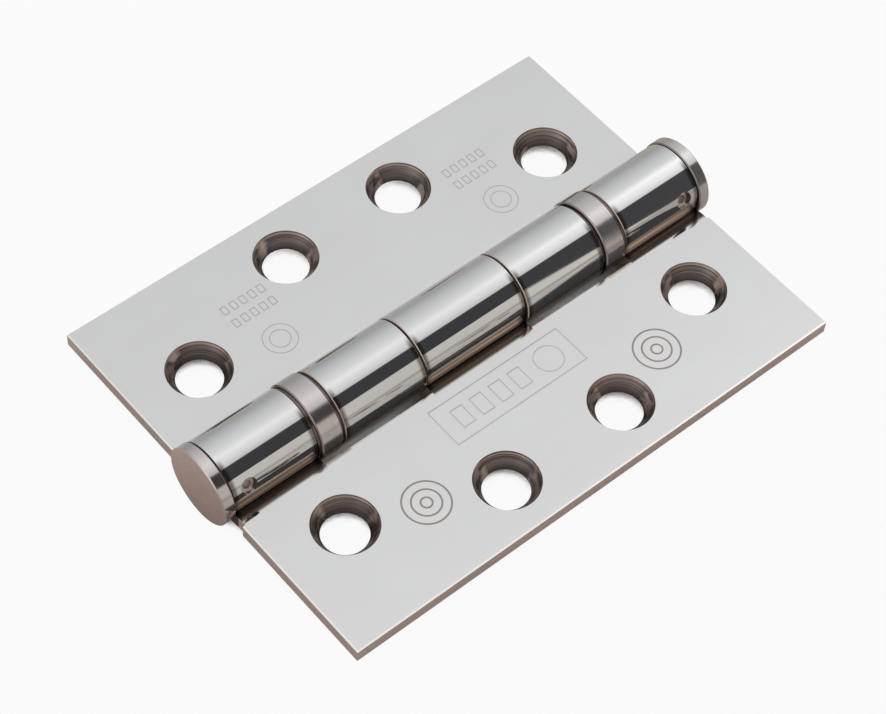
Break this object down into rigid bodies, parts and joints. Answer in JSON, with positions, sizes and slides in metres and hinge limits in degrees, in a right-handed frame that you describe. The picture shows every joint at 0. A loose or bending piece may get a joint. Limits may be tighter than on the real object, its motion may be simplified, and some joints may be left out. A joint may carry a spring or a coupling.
{
  "type": "ball bearing hinge",
  "caption": "Square-cornered butt hinge with rolled knuckles on a fixed pin, thrust bearings between the leaves and countersunk screw holes, laid open flat.",
  "frame": {"origin": "on the pin axis at mid-length, which is the centre of the hinge's box", "axes": "+Y along the barrel from the near cap to the far cap, +X across the front leaf, which carries the end and centre knuckles, +Z the side that the countersinks open to"},
  "size_m": [0.0762, 0.105, 0.0144],
  "materials": {
    "polished_steel": "mirror polished stainless steel",
    "satin_steel": "fine turned satin stainless steel",
    "ground_steel": "ground and hardened steel",
    "screw_steel": "plain stainless steel",
    "ball_steel": "polished steel balls",
    "cage_brass": "stamped brass"
  },
  "bodies": {
    "front_leaf": {"front_leaf": "polished_steel", "hinge_pin": "ground_steel", "near_end_cap": "satin_steel", "near_set_screw": "screw_steel", "near_bearing_casing": "satin_steel", "near_fixed_race": "ground_steel", "far_end_cap": "satin_steel", "far_set_screw": "screw_steel", "far_bearing_casing": "satin_steel", "far_fixed_race": "ground_steel"},
    "rear_leaf": {"rear_leaf": "polished_steel", "near_turning_race": "ground_steel", "far_turning_race": "ground_steel"},
    "near_cage": {"near_ball_cage": "cage_brass", "near_ball_01": "ball_steel", "near_ball_02": "ball_steel", "near_ball_03": "ball_steel", "near_ball_04": "ball_steel", "near_ball_05": "ball_steel", "near_ball_06": "ball_steel", "near_ball_07": "ball_steel", "near_ball_08": "ball_steel"},
    "far_cage": {"far_ball_cage": "cage_brass", "far_ball_01": "ball_steel", "far_ball_02": "ball_steel", "far_ball_03": "ball_steel", "far_ball_04": "ball_steel", "far_ball_05": "ball_steel", "far_ball_06": "ball_steel", "far_ball_07": "ball_steel", "far_ball_08": "ball_steel"}
  },
  "joints": [
    {"name": "leaf_swing", "type": "hinge", "parent": "front_leaf", "child": "rear_leaf", "pos_m": [0, 0, 0], "axis": [0, 1, 0], "range_deg": [-120, 180]},
    {"name": "near_cage_roll", "type": "hinge", "parent": "front_leaf", "child": "near_cage", "pos_m": [0, 0, 0], "axis": [0, 1, 0], "range_deg": [-60, 90]},
    {"name": "far_cage_roll", "type": "hinge", "parent": "front_leaf", "child": "far_cage", "pos_m": [0, 0, 0], "axis": [0, 1, 0], "range_deg": [-60, 90]}
  ],
  "couplings": [
    {"joint": "near_cage_roll", "follows": "leaf_swing", "ratio": 0.5},
    {"joint": "far_cage_roll", "follows": "leaf_swing", "ratio": 0.5}
  ]
}
